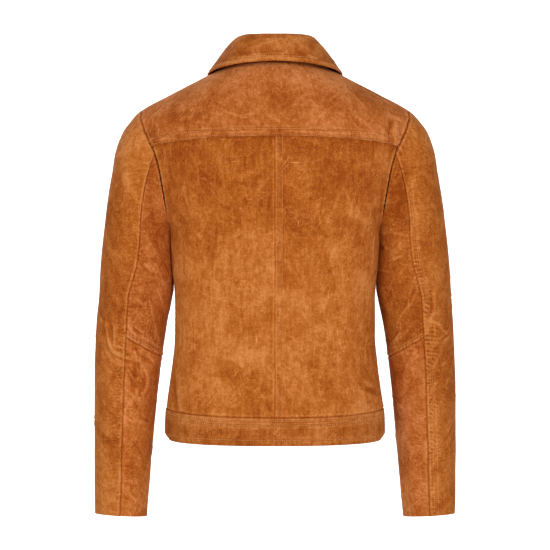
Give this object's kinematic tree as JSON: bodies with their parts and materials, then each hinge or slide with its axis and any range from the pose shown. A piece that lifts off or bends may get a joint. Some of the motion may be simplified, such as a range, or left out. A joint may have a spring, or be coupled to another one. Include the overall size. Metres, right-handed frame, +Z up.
{
  "type": "suede jacket",
  "caption": "Waist-length suede jacket in its worn shape, hollow, with a turned-down collar, a back yoke, two-piece sleeves, a waistband and a buttoned front.",
  "frame": {"origin": "middle of the neck opening, level with the points where the shoulder seams meet the collar, where the jacket is held by its shoulders", "axes": "+X to the wearer's left, -Y to the front, +Z up"},
  "size_m": [0.565, 0.2437, 0.7452],
  "materials": {
    "suede": "tan suede with a short, worn nap",
    "horn": "dark brown horn-look buttons"
  },
  "bodies": {
    "root": {"back_yoke": "suede", "back_left": "suede", "back_right": "suede", "front_left": "suede", "front_right": "suede", "waistband_back": "suede", "waistband_left": "suede", "waistband_right": "suede", "collar_stand": "suede", "collar_fall": "suede", "sleeve_upper_left": "suede", "sleeve_upper_right": "suede", "sleeve_under_arm_left": "suede", "sleeve_under_arm_right": "suede", "sleeve_under_forearm_left": "suede", "sleeve_under_forearm_right": "suede", "button_1": "horn", "button_2": "horn", "button_3": "horn", "button_4": "horn", "button_5": "horn", "button_6": "horn"}
  },
  "joints": []
}
